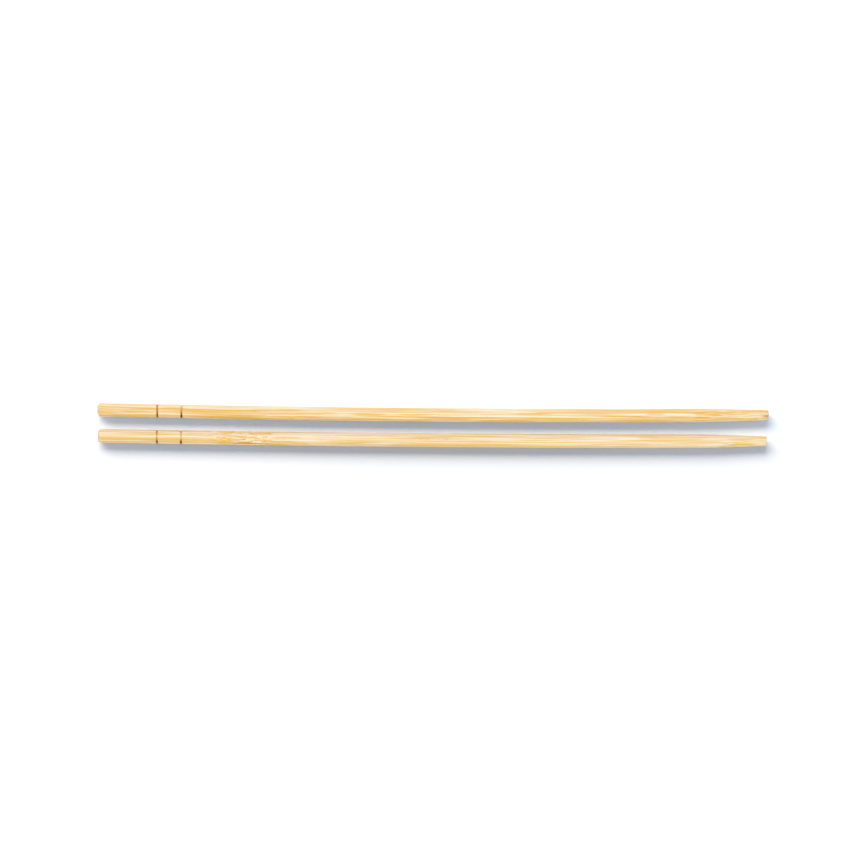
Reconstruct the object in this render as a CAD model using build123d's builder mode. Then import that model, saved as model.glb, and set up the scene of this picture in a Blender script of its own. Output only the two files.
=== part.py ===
import os
from math import asin, atan, cos, degrees, sin, tan

from build123d import *

# A pair of disposable round bamboo chopsticks, lying side by side as they come out of the packet.
# Each stick is one piece of bamboo: a slat milled to a round rod, scored with grip rings near the
# butt, rounded over at the butt and ground to a short taper at the tip. Drying has left both rods
# slightly bowed, in the plane of the table and towards the front.
# X runs from the butts to the tips, Y from the front stick to the rear one, and Z up from the table.
# All sizes are in millimetres.

# The milled rod
rod_diameter = 4.7
rear_length = 228.6
front_length = 227.7

# How far the middle of a bowed stick stands off the line through its ends
rear_bow = 0.92
front_bow = 0.65

# How the pair lies
stick_gap = 4.15  # clear space between the two sticks at their ends
front_butt_inset = 0.3  # how much further along X the front stick begins

# Grip rings, V-shaped scores round the rod
ring_count = 2
rear_first_ring = 20.3  # from the butt to the root of the first ring
front_first_ring = 20.0
ring_pitch = 8.25
ring_width = 0.6
ring_depth = 0.3

# The rounded-over butts
rear_butt_round = 1.4
front_butt_round = 1.0

# The ground tips
taper_length = 20.5  # from the end face back to where the cone would meet the rod
taper_ease = 210.0  # radius that eases the cone into the rod
rear_tip_diameter = 3.5
front_tip_diameter = 3.35
rear_tip_round = 0.45
front_tip_round = 0.2

# The turned work at each end stays on a straight stretch of rod, and only the shank between bends.
turned_margin = 3.5  # straight rod left past the last ring and past the eased taper

rod_radius = rod_diameter / 2
stick_pitch = rod_diameter + stick_gap

# The front stick's bow reaches furthest forward, so the pair is centred on Y with that counted in.
rear_line_y = (stick_pitch + front_bow) / 2
front_line_y = rear_line_y - stick_pitch
front_middle_x = (front_length - rear_length) / 2 + front_butt_inset


def straight_length(first_ring, tip_diameter):
    """Straight rod at each end of a stick: enough for the rings and for the taper with its easing."""
    last_ring = first_ring + (ring_count - 1) * ring_pitch
    taper_angle = atan((rod_diameter - tip_diameter) / 2 / taper_length)
    ease_length = taper_ease * tan(taper_angle / 2)
    return max(last_ring, taper_length + ease_length) + turned_margin


def bowed_axis(length, bow, straight, middle_x, line_y):
    """The shank's centre line: the arc between a stick's straight ends, bulging to the front."""
    shank = length - 2 * straight
    half_turn = asin(bow / (shank / 4 + straight))
    bend_radius = shank / (2 * half_turn)
    arc_depth = bend_radius * (1 - cos(half_turn)) + straight * sin(half_turn)
    with BuildLine(Plane.XY.offset(rod_radius)) as axis:
        CenterArc(
            center=(middle_x, line_y - arc_depth + bend_radius),
            radius=bend_radius,
            start_angle=270 - degrees(half_turn),
            arc_size=degrees(2 * half_turn),
        )
    return axis.line


def chopstick(length, bow, butt_round, first_ring, tip_diameter, tip_round, middle_x, line_y):
    """One stick: a shank swept along its bow, with the butt and the tip turned in line with its ends."""
    straight = straight_length(first_ring, tip_diameter)
    axis = bowed_axis(length, bow, straight, middle_x, line_y)
    butt_plane = Plane(origin=axis @ 0, x_dir=-(axis % 0), z_dir=(0, 0, 1))
    tip_plane = Plane(origin=axis @ 1, x_dir=axis % 1, z_dir=(0, 0, 1))

    with BuildPart() as stick:
        with BuildSketch(Plane(origin=axis @ 0, x_dir=(0, 0, 1), z_dir=axis % 0)):
            Circle(rod_radius)
        sweep(path=axis)

        # The butt, as half of its lengthwise section turned about the rod's own centre line
        with BuildSketch(butt_plane) as butt_section:
            Rectangle(straight, rod_radius, align=(Align.MIN, Align.MIN))
            ring_places = [
                (straight - first_ring - ring * ring_pitch, rod_radius) for ring in range(ring_count)
            ]
            with Locations(*ring_places):
                Polygon(
                    (-ring_width / 2, 0),
                    (0, -ring_depth),
                    (ring_width / 2, 0),
                    align=None,
                    mode=Mode.SUBTRACT,
                )
            end_corners = butt_section.vertices().group_by(Axis.X)[-1]
            fillet(end_corners.sort_by(Axis.Y)[-1], butt_round)
        revolve(axis=Axis(butt_plane.origin, butt_plane.x_dir))

        # The tip, turned the same way
        with BuildSketch(tip_plane) as tip_section:
            with BuildLine():
                Polyline(
                    (0, 0),
                    (0, rod_radius),
                    (straight - taper_length, rod_radius),
                    (straight, tip_diameter / 2),
                    (straight, 0),
                    close=True,
                )
            make_face()
            end_corners = tip_section.vertices().group_by(Axis.X)[-1]
            fillet(end_corners.sort_by(Axis.Y)[-1], tip_round)
            shoulder = tip_section.vertices().group_by(Axis.X)[1]
            fillet(shoulder, taper_ease)
        revolve(axis=Axis(tip_plane.origin, tip_plane.x_dir))
    return stick


rear_chopstick = chopstick(
    rear_length,
    rear_bow,
    rear_butt_round,
    rear_first_ring,
    rear_tip_diameter,
    rear_tip_round,
    0,
    rear_line_y,
)
rear_chopstick.part.label = "rear_chopstick"

front_chopstick = chopstick(
    front_length,
    front_bow,
    front_butt_round,
    front_first_ring,
    front_tip_diameter,
    front_tip_round,
    front_middle_x,
    front_line_y,
)
front_chopstick.part.label = "front_chopstick"

os.makedirs("parts", exist_ok=True)
export_step(rear_chopstick.part, "parts/rear_chopstick.step")
export_step(front_chopstick.part, "parts/front_chopstick.step")
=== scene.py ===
import math
import random

import bmesh
import bpy
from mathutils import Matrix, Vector, noise


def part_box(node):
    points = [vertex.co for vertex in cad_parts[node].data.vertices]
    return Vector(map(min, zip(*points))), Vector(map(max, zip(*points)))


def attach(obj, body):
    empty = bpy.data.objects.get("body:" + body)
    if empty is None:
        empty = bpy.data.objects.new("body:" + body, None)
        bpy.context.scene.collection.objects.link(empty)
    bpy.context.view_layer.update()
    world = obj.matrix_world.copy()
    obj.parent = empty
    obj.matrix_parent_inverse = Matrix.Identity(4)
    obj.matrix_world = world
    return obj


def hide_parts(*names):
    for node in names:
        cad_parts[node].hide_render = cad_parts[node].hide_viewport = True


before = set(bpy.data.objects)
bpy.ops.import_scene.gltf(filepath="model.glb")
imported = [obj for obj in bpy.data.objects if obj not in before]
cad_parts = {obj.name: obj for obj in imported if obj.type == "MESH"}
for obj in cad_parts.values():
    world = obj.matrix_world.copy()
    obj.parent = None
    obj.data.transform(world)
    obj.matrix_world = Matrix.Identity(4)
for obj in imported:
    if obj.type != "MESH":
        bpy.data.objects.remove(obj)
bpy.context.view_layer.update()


# The rods
# Each chopstick is a slat split from a bamboo culm and pushed through a round moulder, then tumbled
# smooth. The cutter leaves a true rod with faint flats and raised fibres, and nothing coats it.

MM = 0.001
ROUND_STEPS = 144  # points round the rod, about a tenth of a millimetre apart
SHANK_STEP = 0.6  # mm between the loops along the plain rod
FINE_STEP = 0.22  # mm between the loops where the surface is torn
RING_STEP = 0.08  # mm between the loops beside a scored ring
END_STEP = 0.12  # mm between the loops across an end face
END_PLAY = 0.03  # mm by which a stick is shorter than its solid
MIDDLE_LEFT = 0.02  # mm from the middle of an end face within which the points stay in place

FIBRE_PITCH = 0.24  # mm between raised fibres
FIBRE_LENGTH = 24.0
FIBRE_HEIGHT = 0.014
FLAT_WIDTH = 2.2  # mm across the faint flats that the cutter leaves
FLAT_LENGTH = 38.0
FLAT_DEPTH = 0.035
CHIP_LENGTH = 2.8  # mm, where fibres are torn out round a node of the culm
CHIP_WIDTH = 0.4
CHIP_DEPTH = 0.12
STRAY_CHIP = 0.5  # how deep the chips at random places are beside the listed ones

RING_WIDTH = 0.6
RING_DEPTH = 0.3
RING_ROOT_ROUND = 0.06  # mm each side of the bottom of the V, where it is rounded
RING_MARGIN = 1.0  # mm each side of a ring that is meshed finely
RING_WANDER = 0.07  # mm that a ring strays along the rod as it goes round
RING_SETTLE = 0.5  # mm beside a ring in which the straying dies away
RING_DEPTH_SHARE = 0.9  # how much of its depth a ring has on average
RING_DEPTH_SWING = 0.4  # how far that share rises and falls round the rod
WANDER_PACE, DEPTH_PACE, BURN_PACE = 2.5, 3.5, 4.5  # how fast each changes round a ring
RING_APART = 5.0  # keeps the noise of one ring away from the next one's

SCORCH_REACH = 0.28  # mm from a ring's middle that are fully scorched
SCORCH_END = 0.4
BURN_SWING = 0.15
FLANK_START, FLANK_END = -0.1, 0.05  # mm past a ring's middle where its butt-side flank ends
FLANK_BURN = 0.5  # the most that the flank on the butt's side burns where the wheel leaned

TAPER_LENGTH = 20.5
TAPER_EASE = 3.2  # mm before and after the shoulder over which the rod eases into the cone
END_STRAIGHT = 32.0  # mm at each end that the bow leaves straight
CUT_END_SHARE = 0.3  # the share of the butt's rounding that takes up grime like its end face
CUT_END_DEPTH = 0.1  # mm of the tip that do the same
WORN_LENGTH = 1.8  # mm of the tip that lose a corner by wear

# What the material reads from each point, apart from its place in the grain
POINT_MARKS = ("streak", "scorch_and_shade", "swirl", "chipped", "stain", "cut_end")


def smooth(low, high, value):
    """0 below low, 1 above high, and an even S between them."""
    share = min(max((value - low) / (high - low), 0.0), 1.0)
    return share * share * (3 - 2 * share)


def round_corner(section, x, height, reach, segments):
    """Rounds the corner of a half section that stands at x and height."""
    corner = min(section.verts, key=lambda v: (v.co - Vector((x, 0, height))).length)
    bmesh.ops.bevel(
        section,
        geom=[corner],
        affect="VERTICES",
        offset=reach,
        offset_type="OFFSET",
        segments=segments,
        profile=0.5,
        material=-1,
    )


def cut_finer(section, start, end, step):
    """Cuts the lengthwise edges between start and end into pieces of about step."""
    for edge in list(section.edges):
        low_x, high_x = sorted(v.co.x for v in edge.verts)
        if start - 1e-6 <= low_x and high_x <= end + 1e-6:
            cuts = math.ceil(edge.calc_length() / step) - 1
            if cuts > 0:
                bmesh.ops.subdivide_edges(section, edges=[edge], cuts=cuts)


def half_section(radius, length, butt_round, rings, tip_radius, tip_round, torn):
    """The rod's lengthwise half section, in mm: butt at x 0, tip at x length, axis along X."""
    outline = [(0, 0), (0, radius)]
    for place in rings:
        outline += [
            (place - RING_WIDTH / 2 - RING_MARGIN, radius),
            (place - RING_WIDTH / 2, radius),
            (place, radius - RING_DEPTH),
            (place + RING_WIDTH / 2, radius),
            (place + RING_WIDTH / 2 + RING_MARGIN, radius),
        ]
    if torn:
        outline += [(torn[0], radius), (torn[1], radius)]
    outline += [(length - TAPER_LENGTH, radius), (length, tip_radius), (length, 0)]

    section = bmesh.new()
    points = [section.verts.new((x, 0, z)) for x, z in outline]
    for first, second in zip(points, points[1:]):
        section.edges.new((first, second))

    round_corner(section, 0, radius, butt_round, 8)
    round_corner(section, length, tip_radius, tip_round, 4)
    round_corner(section, length - TAPER_LENGTH, radius, TAPER_EASE, 8)
    for place in rings:
        round_corner(section, place, radius - RING_DEPTH, RING_ROOT_ROUND, 2)

    cut_finer(section, 0, 0, END_STEP)
    cut_finer(section, length, length, END_STEP)
    for place in rings:
        reach = RING_WIDTH / 2 + RING_MARGIN
        cut_finer(section, place - reach, place + reach, RING_STEP)
    if torn:
        cut_finer(section, *torn, FINE_STEP)
    cut_finer(section, 0, length, SHANK_STEP)
    return section


def mark_here(marks, x, degrees_round, radius):
    """How strongly the marks of a list show at a point of the rod, from 0 to 1.

    Each mark fades and narrows towards its ends.
    """
    strongest = 0.0
    for start, end, from_degrees, to_degrees, width, strength in marks:
        if start < x < end:
            along = (x - start) / (end - start)
            middle = from_degrees + (to_degrees - from_degrees) * along
            fade = smooth(0, 0.3, along) * smooth(0, 0.3, 1 - along)
            half_width = width * (0.6 + 0.6 * fade)
            off_middle = (degrees_round - middle + 180) % 360 - 180
            across = math.radians(off_middle) * radius / half_width
            strongest = max(strongest, strength * fade**0.5 * math.exp(-(across**4)))
    return strongest


def scattered(seed, count, strongest):
    """Faint marks at random places all round a rod, in the same form as the listed ones."""
    chance = random.Random(seed)
    marks = []
    for _ in range(count):
        start = chance.uniform(-20, 215)
        end = start + chance.uniform(10, 50)
        middle = chance.uniform(-180, 180)
        turned = middle + chance.uniform(-3, 3)
        width = chance.uniform(0.11, 0.17)
        marks.append((start, end, middle, turned, width, chance.uniform(0.15, strongest)))
    return marks


def drawn_out(x, y, z, length, width, start):
    """Noise from -1 to 1, drawn out along the rod: features of about length by width, in mm."""
    return noise.noise(Vector((x / length, y / width, z / width)) + start)


def scorched(burns, past_ring, around, turn):
    """How dark a ring is at one point: its real scorch, with painted shade that makes it darkest on
    the front side, away from the lamp.

    burns holds the strength behind, on top and in front, and how far the wheel leaned to the tip.
    """
    behind_burn, top_burn, front_burn_and_shade, lean = burns
    side = math.sin(around)
    # Painted shade: the burn grows towards the front, the side away from the lamp.
    side_burn_and_shade = front_burn_and_shade if side > 0 else behind_burn
    burn_and_shade = top_burn + (side_burn_and_shade - top_burn) * smooth(0, 0.9, abs(side))
    burn_and_shade += BURN_SWING * noise.noise(turn * BURN_PACE)
    butt_flank = lean * (1 - smooth(FLANK_START, FLANK_END, past_ring))
    burn_and_shade += (min(burn_and_shade, FLANK_BURN) - burn_and_shade) * butt_flank
    return max(burn_and_shade, 0) * (1 - smooth(SCORCH_REACH, SCORCH_END, abs(past_ring)))


def bamboo_stick(
    name,
    node,
    butt_round,
    rings,
    tip_radius,
    tip_round,
    seed,
    streaks,
    pale_threads,
    stains,
    scorches_and_shade,
    torn=None,
    chips=(),
    worn_corner=0.0,
):
    """Turns, scores, roughens and bows one stick, in the place of its CAD node."""
    low, high = (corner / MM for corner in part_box(node))
    radius = (high.z - low.z) / 2
    length = high.x - low.x - END_PLAY
    bow = high.y - low.y - 2 * radius

    stick = half_section(radius, length, butt_round, rings, tip_radius, tip_round, torn)
    bmesh.ops.spin(
        stick,
        geom=stick.verts[:] + stick.edges[:],
        cent=(0, 0, 0),
        axis=(1, 0, 0),
        dvec=(0, 0, 0),
        angle=math.tau,
        steps=ROUND_STEPS,
        use_merge=True,
        use_duplicate=False,
    )
    bmesh.ops.remove_doubles(stick, verts=stick.verts[:], dist=1e-4)
    bmesh.ops.recalc_face_normals(stick, faces=stick.faces[:])

    grain = stick.verts.layers.float_vector.new("grain")
    streak, scorch_and_shade, swirl, chipped, stain, cut_end = (
        stick.verts.layers.float.new(mark) for mark in POINT_MARKS
    )
    start = Vector((seed, seed, seed))
    shank = length - 2 * END_STRAIGHT
    half_turn = math.asin(bow / (shank / 4 + END_STRAIGHT))
    bend_radius = shank / (2 * half_turn)

    for point in stick.verts:
        x, y, z = point.co
        across = math.hypot(y, z)
        around = math.atan2(-y, z)
        degrees_round = math.degrees(around)
        point[grain] = (x, y, z)
        point[streak] = mark_here(streaks, x, degrees_round, radius)
        point[stain] = mark_here(stains, x, degrees_round, radius)
        point[chipped] = mark_here(pale_threads, x, degrees_round, radius)
        at_butt = 1 - smooth(0, CUT_END_SHARE * butt_round, x)
        point[cut_end] = max(at_butt, smooth(length - CUT_END_DEPTH, length, x))

        # The rings stray a little and are deeper where the wheel pressed harder. Their scorch varies
        # at random round the rod, and is painted darker on the front side, away from the lamp, as
        # shade.
        for ring, place in enumerate(rings):
            past_ring = x - place
            near = 1 - smooth(RING_WIDTH / 2, RING_WIDTH / 2 + RING_SETTLE, abs(past_ring))
            if near > 0:
                turn = Vector((math.cos(around), math.sin(around), RING_APART * ring)) + start
                x += near * RING_WANDER * noise.noise(turn * WANDER_PACE)
                depth_share = RING_DEPTH_SHARE + RING_DEPTH_SWING * noise.noise(turn * DEPTH_PACE)
                across = radius - (radius - across) * depth_share
                point[scorch_and_shade] = scorched(scorches_and_shade[ring], past_ring, around, turn)

        # Raised fibres and faint flats, cut inwards so that the rod stays within its diameter
        fibre = drawn_out(x, y, z, FIBRE_LENGTH, FIBRE_PITCH, start)
        flat = drawn_out(x, y, z, FLAT_LENGTH, FLAT_WIDTH, start)
        inward = FIBRE_HEIGHT * (0.5 - 0.5 * fibre) + FLAT_DEPTH * (0.5 - 0.5 * flat)
        if torn:
            middle = (torn[0] + torn[1]) / 2
            reach = (torn[1] - torn[0]) / 2
            mask = 1 - smooth(0.25, 1.0, abs(x - middle) / reach)
            ragged = drawn_out(x, y, z, CHIP_LENGTH, CHIP_WIDTH, start)
            stray = STRAY_CHIP * mask * smooth(0.2, 0.5, ragged)
            placed = mark_here(chips, x, degrees_round, radius) * smooth(-0.5, 0.1, ragged)
            chip = max(stray, placed)
            inward += CHIP_DEPTH * chip
            point[swirl] = mask
            point[chipped] = max(chip, point[chipped])
        in_front = smooth(0.2, 0.9, math.sin(around))
        inward += worn_corner * in_front * smooth(length - WORN_LENGTH, length, x)

        # The middle of an end face has no direction to be cut inwards in.
        if across > MIDDLE_LEFT:
            scale = max(across - inward, 0.0) / math.hypot(y, z)
            y, z = y * scale, z * scale

        # The bow, with both ends straight
        from_middle = x - length / 2
        in_bend = min(max(from_middle, -shank / 2), shank / 2)
        slope = in_bend / bend_radius
        sag = in_bend * slope / 2 + (abs(from_middle) - abs(in_bend)) * half_turn
        point.co = (
            (low.x + high.x) / 2 + from_middle - y * slope,
            low.y + radius + sag + y,
            low.z + radius + z,
        )

    bmesh.ops.scale(stick, vec=(MM, MM, MM), verts=stick.verts[:])
    mesh = bpy.data.meshes.new(name)
    stick.to_mesh(mesh)
    stick.free()
    mesh.shade_smooth()
    piece = bpy.data.objects.new(name, mesh)
    bpy.context.scene.collection.objects.link(piece)
    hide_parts(node)
    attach(piece, "root")
    return piece


def colour(code):
    """An sRGB hex colour as linear RGBA."""
    parts = [int(code[i : i + 2], 16) / 255 for i in (1, 3, 5)]
    linear = [p / 12.92 if p <= 0.04045 else ((p + 0.055) / 1.055) ** 2.4 for p in parts]
    return (*linear, 1.0)


def add(tree, kind, inputs=None, output=0, **settings):
    """Adds a shader node, sets it, links or sets its inputs, and gives back one of its outputs."""
    made = tree.nodes.new(kind)
    for setting, value in settings.items():
        setattr(made, setting, value)
    for socket, value in (inputs or {}).items():
        if isinstance(value, bpy.types.NodeSocket):
            tree.links.new(value, made.inputs[socket])
        else:
            made.inputs[socket].default_value = value
    return made.outputs[output]


def milled_bamboo(name, seed, ripe_and_shaded_side, pale, ripe_and_shade_tan, strand_share):
    """Bare milled bamboo: pale peach pith, golden fibre strands and a satin, tumbled face.

    The given ripe side points to the butt and to the front and underside, away from the lamp. That
    way the wood is painted darker and more golden, with denser strands, which is painted shade over
    riper bands of wood. The strands are the culm's vascular bundles: dots on the cut ends, and long
    lines wherever the rod's face runs along one.
    """
    material = bpy.data.materials.new(name)
    material.use_nodes = True
    tree = material.node_tree
    tree.nodes.clear()
    math_node, vector_node = "ShaderNodeMath", "ShaderNodeVectorMath"

    # While input 0 goes from 1 to 2, a range goes from 3 to 4, in an even S.
    range_node, eased = "ShaderNodeMapRange", {"interpolation_type": "SMOOTHSTEP"}

    def threads(place, length, width, detail, shift=0.0, output="Fac"):
        """Noise drawn out along the rod: features of about length by width, in mm.

        It lies mostly between 0.4 and 0.6, so a narrow range of it gives threads with clear edges.
        """
        scale = (1 / length, 1 / width, 1 / width)
        inputs = {"Vector": place, "Scale": scale, "Location": (shift, shift, shift)}
        drawn = add(tree, "ShaderNodeMapping", inputs)
        inputs = {"Vector": drawn, "Scale": 1, "Detail": detail}
        return add(tree, "ShaderNodeTexNoise", inputs, output)

    grain = add(tree, "ShaderNodeAttribute", output="Vector", attribute_name="grain")
    streak, scorch_and_shade, swirl, chipped, stain, cut_end = (
        add(tree, "ShaderNodeAttribute", output="Fac", attribute_name=mark) for mark in POINT_MARKS
    )

    # The strands wander a little along the rod, and swirl at a node.
    wander, swirl_reach = 0.9, 3.5  # mm
    place = add(tree, "ShaderNodeMapping", {"Vector": grain, "Location": (seed, seed, seed)})
    half = (0.5, 0.5, 0.5)
    drift = threads(place, 45, 4, 1, output="Color")
    drift = add(tree, vector_node, {0: drift, 1: half}, operation="SUBTRACT")
    drift = add(tree, vector_node, {0: drift, 1: (0, wander, wander)}, operation="MULTIPLY")
    turn = threads(place, 6.25, 2.5, 1, output="Color")
    turn = add(tree, vector_node, {0: turn, 1: half}, operation="SUBTRACT")
    turning = add(tree, math_node, {0: swirl, 1: swirl_reach}, operation="MULTIPLY")
    turn = add(tree, vector_node, {0: turn, "Scale": turning}, operation="SCALE")
    moved = add(tree, vector_node, {0: drift, 1: turn}, operation="ADD")
    strand_place = add(tree, vector_node, {0: place, 1: moved}, operation="ADD")

    # Painted shade: darker and more golden towards the given side, away from the lamp, with riper
    # wood in broad bands
    shade_side = add(tree, vector_node, {0: grain, 1: ripe_and_shaded_side}, "Value", operation="DOT_PRODUCT")
    shade_side = add(tree, range_node, {0: shade_side, 1: -3.1, 2: 1.7, 3: 0.0, 4: 1.0}, **eased)
    bands = threads(strand_place, 90, 1.3, 2)
    ripe_and_shade = add(tree, math_node, {0: bands, 1: 0.35, 2: shade_side}, operation="MULTIPLY_ADD")
    ripe_and_shade = add(tree, range_node, {0: ripe_and_shade, 1: 0.175, 2: 1.075, 3: 0.0, 4: 1.0}, **eased)

    # Thin pale and tan threads of pith between the strands
    pith = threads(strand_place, 80, 0.3, 1, 5.0)
    light = add(tree, range_node, {0: pith, 1: 0.52, 2: 0.58, 3: 0.0, 4: 0.75}, **eased)
    tan = add(tree, range_node, {0: pith, 1: 0.42, 2: 0.48, 3: 0.75, 4: 0.0}, **eased)

    # Vascular bundles 0.8 mm apart, a third of a millimetre thick, in cross-section
    bundles_in_mm = 1.2
    end_on = (0, math.pi / 2, 0)
    scale = (0, bundles_in_mm, bundles_in_mm)
    inputs = {"Vector": strand_place, "Rotation": end_on, "Scale": scale}
    bundle_at = add(tree, "ShaderNodeMapping", inputs)
    inputs = {"Vector": bundle_at, "Scale": 1, "Randomness": 0.9}
    bundle = add(tree, "ShaderNodeTexVoronoi", inputs, "Distance", voronoi_dimensions="2D")
    bundle = add(tree, range_node, {0: bundle, 1: 0.08, 2: 0.22, 3: 1.0, 4: 0.0}, **eased)
    faded = threads(place, 24, 0.3, 2, 9.0)
    faded = add(tree, range_node, {0: faded, 1: 0.42, 2: 0.6, 3: 0.0, 4: 1.0}, **eased)
    inputs = {0: ripe_and_shade, 1: 0.0, 2: 1.0, 3: 0.7 * strand_share, 4: strand_share}
    share = add(tree, range_node, inputs, **eased)
    share = add(tree, math_node, {0: faded, 1: share}, operation="MULTIPLY")
    bundle = add(tree, math_node, {0: bundle, 1: share}, operation="MULTIPLY")

    # Single fibres, too fine to show one by one and so drawn at a quarter of a millimetre
    fibres = threads(strand_place, 48, 0.24, 1)
    golden = add(tree, range_node, {0: fibres, 1: 0.53, 2: 0.59, 3: 0.0, 4: 0.7}, **eased)
    dry = add(tree, range_node, {0: fibres, 1: 0.41, 2: 0.47, 3: 0.4, 4: 0.0}, **eased)

    # The cut ends drink in a little grime, and the scoring wheel first toasts and then burns.
    grime = 0.15
    grimy = add(tree, math_node, {0: cut_end, 1: grime}, operation="MULTIPLY")
    toast = add(tree, range_node, {0: scorch_and_shade, 1: 0.0, 2: 0.6, 3: 0.0, 4: 0.9}, **eased)
    # Painted shade as well as real burn: the rings are darkest on their front side, away from the
    # lamp.
    burn_and_shade = add(tree, range_node, {0: scorch_and_shade, 1: 0.35, 2: 1.0, 3: 0.0, 4: 1.0}, **eased)

    # Each colour lies over those before it, as far as its share says.
    share_in, under_in, over_in, mixed = 0, 6, 7, 2
    body = colour(pale)
    for share, over in (
        # painted shade: darker and more golden towards the front, underside and butt, over riper
        # bands
        (ripe_and_shade, ripe_and_shade_tan),
        (light, "#fef0dc"),
        (tan, "#edb95e"),
        (bundle, "#edb41c"),
        (golden, "#efbb44"),
        (dry, "#fef2e2"),
        (grimy, "#c98c43"),
        (chipped, "#fef5e4"),  # dry and torn fibres are whitish
        (streak, "#eeb414"),  # the strongest strands are deep gold
        (stain, "#be6000"),  # a bruise is brown
        (toast, "#e49a18"),
        # real burn, with painted shade on the rings' front side
        (burn_and_shade, "#5a0a08"),
    ):
        inputs = {share_in: share, under_in: body, over_in: colour(over)}
        body = add(tree, "ShaderNodeMix", inputs, mixed, data_type="RGBA")

    # Tumbling leaves a dull satin, with the fibres just raised.
    raised = 0.02 * MM
    bump = add(tree, "ShaderNodeBump", {"Height": fibres, "Strength": 0.6, "Distance": raised})
    satin = {"Base Color": body, "Roughness": 0.6, "Specular IOR Level": 0.25, "Normal": bump}
    surface = add(tree, "ShaderNodeBsdfPrincipled", satin)
    output = tree.nodes.new("ShaderNodeOutputMaterial")
    tree.links.new(surface, output.inputs["Surface"])
    return material


# The rear chopstick
# The richer of the two: golden strands run along its front side, which is also painted darker and
# more golden there as shade, away from the lamp.
# A mark is start and end in mm from the butt, the degrees round from the top towards the front
# where it starts and ends, its width in mm and its strength.

REAR_STREAKS = [
    (-8, 9, 22, 19, 0.16, 0.95),
    (7, 18, 10, 5, 0.17, 1.0),
    (8.5, 22, -8, -17, 0.18, 0.75),
    (15, 20, 11, 12, 0.14, 0.7),
    (-8, 21, 61, 60, 0.3, 0.7),
    (20.5, 31, -24, -26, 0.35, 0.6),
    (20.5, 29, 10, 9, 0.12, 0.5),
    (29.5, 44, 2, 8, 0.3, 0.5),
    (45, 56, -12, -13, 0.14, 0.8),
    (51.5, 55.2, -13, -13, 0.16, 1.0),
    (42, 62, 25, 26, 0.15, 0.8),
    (56, 67.5, 27, 28, 0.15, 0.8),
    (60, 71, -28, -28, 0.3, 0.5),
    (66, 78, 31, 31, 0.15, 0.9),
    (58, 82, 61, 62, 0.25, 0.5),
    (82, 101, 43, 43, 0.35, 0.6),
    (92, 115, 53, 55, 0.3, 0.6),
    (84, 101, -1, -2, 0.17, 1.0),
    (89, 106, 15, 15, 0.14, 0.75),
    (101, 144, 18, 24, 0.17, 1.0),
    (98, 118, 0, -4, 0.13, 0.7),
    (139, 171, 24, 25, 0.15, 0.85),
    (140, 156, -13, -12, 0.3, 0.6),
    (127, 153, 55, 56, 0.25, 1.0),
    (169, 189, 6, 7, 0.16, 1.0),
    (172, 198, 45, 47, 0.4, 0.6),
    (186, 194, -11, -11, 0.3, 0.6),
    (192, 204, 14, 15, 0.3, 0.6),
    (202.5, 209.5, 19, 20, 0.28, 1.0),
    (202.5, 208.5, 48, 48, 0.16, 0.9),
    (202.5, 207.5, -17, -17, 0.2, 0.6),
    (208.3, 213.4, 0, 0, 0.17, 1.0),
    (212, 216, 17, 18, 0.14, 0.6),
    (214, 220, 29, 29, 0.16, 0.6),
    (216, 220.5, -8, -7, 0.13, 0.5),
    (219, 223.5, 10, 10, 0.16, 0.8),
    (221, 226, 36, 36, 0.25, 0.6),
    (219, 229, -23, -23, 0.14, 0.9),
    (221, 227.5, 3, 3, 0.14, 0.7),
    (226, 229.5, 31, 34, 0.2, 0.7),
]
REAR_PALE = [
    (0.5, 17, 28, 27, 0.14, 0.2),
    (20.5, 28, 15, 14, 0.15, 0.5),
    (55, 80, -14, -12, 0.16, 0.5),
    (84, 98, 22, 22, 0.13, 0.5),
    (97, 112, 29, 30, 0.14, 0.5),
    (116, 143, 9, 10, 0.15, 0.7),
    (124, 140, 35, 36, 0.15, 0.8),
    (139, 151, -28, -28, 0.15, 0.9),
    (148, 163, 8, 9, 0.15, 0.6),
    (203, 215, 8, 8, 0.14, 0.7),
    (203, 210, 35, 35, 0.14, 0.6),
    (216, 229, 17, 18, 0.15, 0.6),
]
REAR_STAINS = [
    (226.0, 231.5, 8, 13, 0.25, 1.0),
    (225.5, 229.3, 33, 31, 0.2, 0.3),
    (223.5, 224.8, 38, 38, 0.15, 0.4),
]
rear = bamboo_stick(
    "rear_bamboo_stick",
    "rear_chopstick",
    butt_round=1.4,
    rings=(20.42, 28.7),
    tip_radius=1.75,
    tip_round=0.45,
    seed=11.3,
    streaks=REAR_STREAKS + scattered(5, 90, 0.6),
    pale_threads=REAR_PALE + scattered(6, 60, 0.6),
    stains=REAR_STAINS,
    # painted shade: the burn in front, away from the lamp, is the strongest of the three
    scorches_and_shade=((0.45, 0.65, 1.05, 1.0), (0.15, 0.5, 1.05, 0.3)),
    worn_corner=0.45,
)
rear_bamboo = milled_bamboo(
    "milled_bamboo_rear",
    seed=3.7,
    # painted shade: the front, the underside and the butt, away from the lamp, are painted darker
    ripe_and_shaded_side=(-0.006, -0.8, -0.5),
    pale="#f8e1b6",
    ripe_and_shade_tan="#ebbd6e",
    strand_share=0.65,
)
rear.data.materials.append(rear_bamboo)


# The front chopstick
# Cut from paler bamboo, through one of the culm's nodes, where the fibres swirl and tear. It is
# rounded over at the butt and ground at the tip as the rear one is, but to sharper corners.

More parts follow.
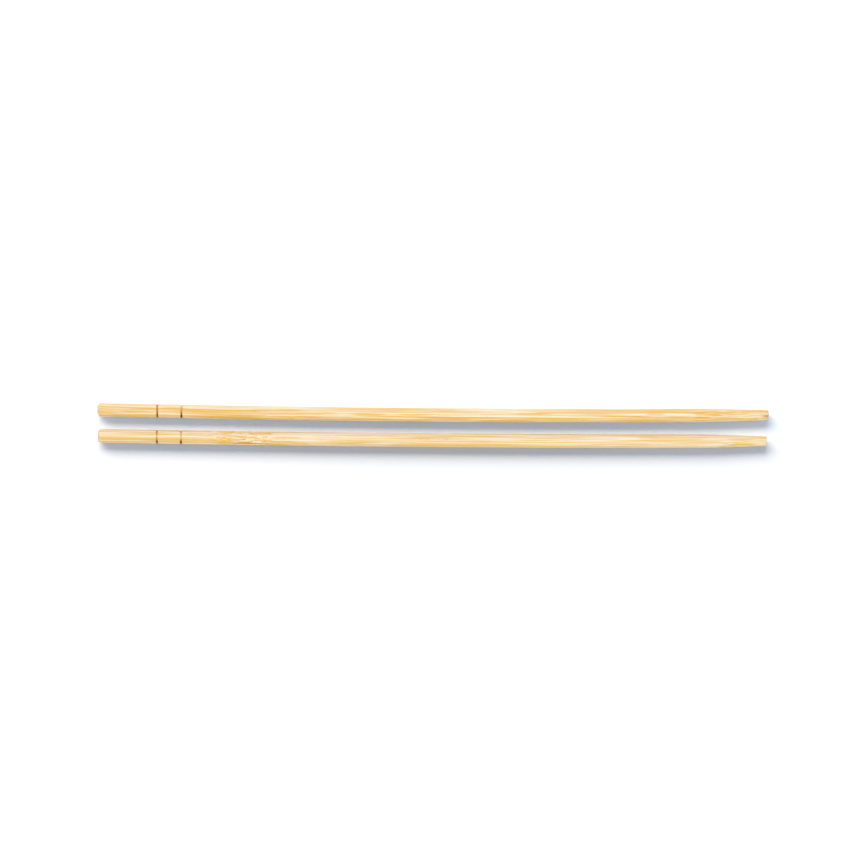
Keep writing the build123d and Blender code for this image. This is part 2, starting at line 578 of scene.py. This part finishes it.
FRONT_STREAKS = [
    (-8, 46, 15, 7, 0.14, 0.7),
    (-8, 42, 34, 27, 0.16, 0.8),
    (-8, 24, 66, 56, 0.25, 0.8),
    (-8, 40, -69, -65, 0.2, 0.5),
    (28, 38, -34, -30, 0.2, 0.5),
    (35, 39.5, -62, -61, 0.2, 0.7),
    (36.5, 41.5, -28, -28, 0.16, 0.6),
    (37, 43, 18, 12, 0.15, 0.7),
    (39.5, 43, -65, -65, 0.15, 0.5),
    (40, 47, 9, 4, 0.16, 0.9),
    (40, 46, 32, 26, 0.16, 0.7),
    (41.5, 46, 22, 22, 0.16, 0.7),
    (42, 45.5, -68, -66, 0.18, 0.8),
    (41.5, 44.8, -29, -29, 0.16, 0.5),
    (43, 46.5, -25, -19, 0.16, 0.7),
    (44.3, 47.3, -40, -72, 0.22, 1.0),
    (43.5, 49, 15, 10, 0.15, 0.9),
    (45, 50, -7, -14, 0.13, 0.9),
    (46.5, 54, -6, -4, 0.2, 0.8),
    (47.3, 50.2, 11, 11, 0.13, 1.0),
    (51, 53.8, -48, -36, 0.3, 0.9),
    (51.5, 56, -8, 6, 0.17, 1.0),
    (53, 58, 18, 19, 0.16, 0.8),
    (54.5, 61, 23, 26, 0.17, 0.8),
    (53.5, 60, -46, -48, 0.17, 0.9),
    (53, 72, -62, -62, 0.2, 0.6),
    (38, 57, 52, 51, 0.26, 1.0),
    (47, 52.5, 41, 37, 0.18, 0.6),
    (52, 66, 56, 60, 0.24, 1.0),
    (57, 68, 34, 32, 0.14, 0.6),
    (61, 70, -10, -11, 0.14, 0.8),
    (64, 73, 39, 40, 0.22, 0.9),
    (60, 64, -7, -7, 0.16, 0.6),
    (74, 98, 26, 21, 0.14, 0.8),
    (76, 92, 56, 58, 0.2, 0.5),
    (98, 150, 46, 44, 0.17, 0.8),
    (117, 138, 13, 15, 0.13, 0.7),
    (106, 122, -28, -27, 0.14, 0.4),
    (138, 176, 52, 56, 0.18, 0.6),
    (142, 170, -63, -63, 0.18, 0.5),
    (183, 191, -36, -30, 0.2, 0.5),
    (176, 212, 38, 34, 0.16, 0.5),
    (205, 218, -58, -55, 0.16, 0.5),
    (214, 226, 37, 36, 0.2, 1.0),
    (219, 224.5, 8, 9, 0.16, 0.6),
    (222.5, 236, -35, -36, 0.25, 0.7),
]
FRONT_PALE = [
    (-8, 20, 44, 40, 0.15, 0.6),
    (62, 74, -20, -20, 0.16, 0.6),
    (64, 76, 10, 10, 0.14, 0.5),
    (119, 146, -25, -24, 0.13, 0.9),
    (144, 163, -14, -14, 0.13, 0.6),
    (165, 210, 42, 40, 0.14, 0.5),
    (176, 190, -21, -20, 0.14, 0.6),
]
FRONT_STAINS = [
    (43, 57, 50, 51, 0.2, 0.65),
    (46.5, 53.5, 45, 43, 0.2, 0.5),
    (54, 65, 57, 59, 0.18, 0.5),
    (49.3, 50.5, 10, 10, 0.16, 0.5),
    (109.5, 110.5, -8, -8, 0.14, 0.3),
    (111.5, 112.4, -8, -8, 0.14, 0.35),
    (112.7, 113.5, -8, -8, 0.14, 0.25),
    (117.9, 119.2, -8, -8, 0.16, 0.25),
    (122.0, 122.9, 50, 50, 0.14, 0.3),
]
FRONT_CHIPS = [
    (43.5, 48, -29, -31, 0.25, 0.7),
    (43, 51, 3, 6, 0.16, 1.0),
    (45, 53, -36, -34, 0.4, 0.6),
    (46.5, 54, 22, 27, 0.28, 0.8),
    (49.8, 53.5, 10, 15, 0.3, 0.7),
    (50.5, 57, 38, 26, 0.28, 1.0),
    (52.3, 55.5, -9, -8, 0.16, 0.9),
]
front = bamboo_stick(
    "front_bamboo_stick",
    "front_chopstick",
    butt_round=1.0,
    rings=(20.07, 28.3),
    tip_radius=1.675,
    tip_round=0.2,
    seed=47.9,
    streaks=FRONT_STREAKS + scattered(7, 80, 0.5),
    pale_threads=FRONT_PALE + scattered(8, 60, 0.5),
    stains=FRONT_STAINS,
    # painted shade: the burn in front, away from the lamp, is the strongest of the three
    scorches_and_shade=((0.6, 0.25, 1.0, 0.2), (0.45, 0.12, 1.0, 0.2)),
    torn=(37.0, 63.0),
    chips=FRONT_CHIPS,
)
front_bamboo = milled_bamboo(
    "milled_bamboo_front",
    seed=21.4,
    # painted shade: the front, the underside and the butt, away from the lamp, are painted darker
    ripe_and_shaded_side=(-0.006, -1.1, -0.6),
    pale="#fdeac8",
    ripe_and_shade_tan="#d6b684",
    strand_share=0.5,
)
front.data.materials.append(front_bamboo)


# The table
# A plain matt white sheet of card that the sticks lie on. It glows faintly, for the camera alone:
# that lifts the shadows to the picture's grey, and further out it keeps the sheet pure white.

TABLE_HALF_WIDTH = 6.0  # m
GLOW_ALONG = 0.5  # how much a metre along the sticks counts beside one away from them
NEAR_GLOW_START, NEAR_GLOW_END = 0.02, 0.15  # m from the middle of the pair
SHADOW_GLOW, NEAR_GLOW = 0.165, 0.36
FAR_GLOW_START, FAR_GLOW_END = 0.2, 0.5
FAR_GLOW = 0.9
BETWEEN_START, BETWEEN_END = 0.002, 0.006  # m from the middle of the gap between the sticks
BETWEEN_GLOW = 0.07

table_mesh = bmesh.new()
bmesh.ops.create_grid(table_mesh, x_segments=1, y_segments=1, size=TABLE_HALF_WIDTH)
table_data = bpy.data.meshes.new("white_table")
table_mesh.to_mesh(table_data)
table_mesh.free()
table = bpy.data.objects.new("white_table", table_data)
bpy.context.scene.collection.objects.link(table)

# Matt white card scatters all light evenly, with no sheen.
matt_white = bpy.data.materials.new("matt_white_card")
matt_white.use_nodes = True
card = matt_white.node_tree
card.nodes.clear()
spot = add(card, "ShaderNodeTexCoord", output="Object")


def card_glow(tint, stretch, *ranges):
    """A glow that changes with the distance from the origin, with each axis stretched by stretch."""
    inputs = {0: spot, 1: stretch}
    stretched = add(card, "ShaderNodeVectorMath", inputs, operation="MULTIPLY")
    away = add(card, "ShaderNodeVectorMath", {0: stretched}, "Value", operation="LENGTH")
    strength = 0.0
    for start, end, from_glow, to_glow in ranges:
        inputs = {0: away, 1: start, 2: end, 3: from_glow, 4: to_glow}
        step = add(card, "ShaderNodeMapRange", inputs)
        strength = add(card, "ShaderNodeMath", {0: strength, 1: step}, operation="ADD")
    return add(card, "ShaderNodeEmission", {"Color": colour(tint), "Strength": strength})


round_the_pair = card_glow(
    "#d7e7ff",
    (GLOW_ALONG, 1, 0),
    (NEAR_GLOW_START, NEAR_GLOW_END, SHADOW_GLOW, NEAR_GLOW),
    (FAR_GLOW_START, FAR_GLOW_END, 0.0, FAR_GLOW),
)

# Between the sticks a little more blue takes away the warmth that their sides cast on the table.
between = card_glow("#6ccbff", (0, 1, 0), (BETWEEN_START, BETWEEN_END, BETWEEN_GLOW, 0.0))
glow = add(card, "ShaderNodeAddShader", {0: round_the_pair, 1: between})
dark = add(card, "ShaderNodeEmission", {"Color": colour("#000000"), "Strength": 0.0})
seen = add(card, "ShaderNodeLightPath", output="Is Camera Ray")
lift = add(card, "ShaderNodeMixShader", {0: seen, 1: dark, 2: glow})
paper = add(card, "ShaderNodeBsdfDiffuse", {"Color": colour("#fafafa")})
white = add(card, "ShaderNodeAddShader", {0: paper, 1: lift})
card_output = card.nodes.new("ShaderNodeOutputMaterial")
card.links.new(white, card_output.inputs["Surface"])
table_data.materials.append(matt_white)


# The light
# A long soft lamp stands high behind the sticks, brighter on the table than on them. A weaker one
# low in front reaches only the sticks, and even, cool light comes from all round.

# Places and sizes in m, and tints in linear red, green and blue
TABLE_KEY_PLACE = (-1.5, 2.015, 1.69)
STICK_KEY_PLACE = (-0.3, 1.62, 2.07)
KEY_LENGTH, KEY_WIDTH = 4.6, 1.65
TABLE_KEY, STICK_KEY = 4.75, 3.0
TABLE_TINT = (1.0, 0.95, 0.885)
STICK_TINT = (1.0, 0.963, 0.92)
TABLE_BOUNCES, STICK_BOUNCES = 8, 0
FILL_PLACE = (0, -0.71, 0.36)
FILL_LENGTH, FILL_WIDTH = 1.8, 0.6
FILL = 2.9
FILL_TINT = (0.97, 1.0, 0.93)
AMBIENT = 0.28
AMBIENT_TINT = (0.85, 0.95, 1.1, 1)


def oval_lamp(name, place, length, width, brightness, tint, lit, bounces):
    """A lamp that faces the sticks and lights only what is in the collection lit.

    It is about as bright on the sticks as a sun of that many watts a square metre.
    """
    place = Vector(place)
    lamp = bpy.data.lights.new(name, "AREA")
    lamp.shape = "ELLIPSE"
    lamp.size, lamp.size_y = length, width
    lamp.energy = brightness * math.pi * place.length_squared
    lamp.color = tint
    lamp.cycles.max_bounces = bounces
    stand = bpy.data.objects.new(name, lamp)
    stand.location = place
    stand.rotation_euler.x = -math.atan2(place.y, place.z)
    stand.light_linking.receiver_collection = lit
    bpy.context.scene.collection.objects.link(stand)


sticks_alone = bpy.data.collections.new("sticks_alone")
for stick in (rear, front):
    sticks_alone.objects.link(stick)
table_alone = bpy.data.collections.new("table_alone")
table_alone.objects.link(table)

# What the sticks' own lamps give them doesn't bounce on, so that it doesn't warm the shadows.
key_size = (KEY_LENGTH, KEY_WIDTH)
fill_size = (FILL_LENGTH, FILL_WIDTH)
on_sticks = (sticks_alone, STICK_BOUNCES)
on_table = (table_alone, TABLE_BOUNCES)
oval_lamp("stick_key", STICK_KEY_PLACE, *key_size, STICK_KEY, STICK_TINT, *on_sticks)
oval_lamp("table_key", TABLE_KEY_PLACE, *key_size, TABLE_KEY, TABLE_TINT, *on_table)
oval_lamp("low_fill", FILL_PLACE, *fill_size, FILL, FILL_TINT, *on_sticks)

room = bpy.data.worlds.new("white_room")
room.use_nodes = True
air = room.node_tree
air.nodes.clear()

# The room looks white, seen straight or mirrored, and lights everything weakly and coolly.
seen = add(air, "ShaderNodeLightPath", output="Is Camera Ray")
for ray in ("Is Glossy Ray", "Is Transmission Ray"):
    mirrored = add(air, "ShaderNodeLightPath", output=ray)
    seen = add(air, "ShaderNodeMath", {0: seen, 1: mirrored}, operation="MAXIMUM")
ambient = add(air, "ShaderNodeBackground", {"Color": AMBIENT_TINT, "Strength": AMBIENT})
backdrop = add(air, "ShaderNodeBackground", {"Color": colour("#ffffff"), "Strength": 1.0})
sky = add(air, "ShaderNodeMixShader", {0: seen, 1: ambient, 2: backdrop})
air_output = air.nodes.new("ShaderNodeOutputWorld")
air.links.new(sky, air_output.inputs["Surface"])
bpy.context.scene.world = room


# The camera
# Looks straight down from high up through a long lens, and is turned a little so that the sticks
# slope as they do in the picture.

LENS = 250.0  # mm, on a 36 mm sensor
SENSOR = 36.0
PICTURE_WIDTH = 289.6  # mm across the picture at the height of the sticks' centre lines
AXIS_HEIGHT = 2.35
CENTRE_X, CENTRE_Y = -2.665, 0.428  # mm, what the picture's middle shows
ROLL = math.radians(0.465)
camera_data = bpy.data.cameras.new("camera")
camera_data.lens = LENS
camera_data.sensor_width = SENSOR
camera = bpy.data.objects.new("camera", camera_data)
camera_height = PICTURE_WIDTH * LENS / SENSOR + AXIS_HEIGHT
camera.location = Vector((CENTRE_X, CENTRE_Y, camera_height)) * MM
camera.rotation_euler = (0, 0, ROLL)
bpy.context.scene.collection.objects.link(camera)
bpy.context.scene.camera = camera

bpy.context.scene.view_settings.view_transform = "Standard"
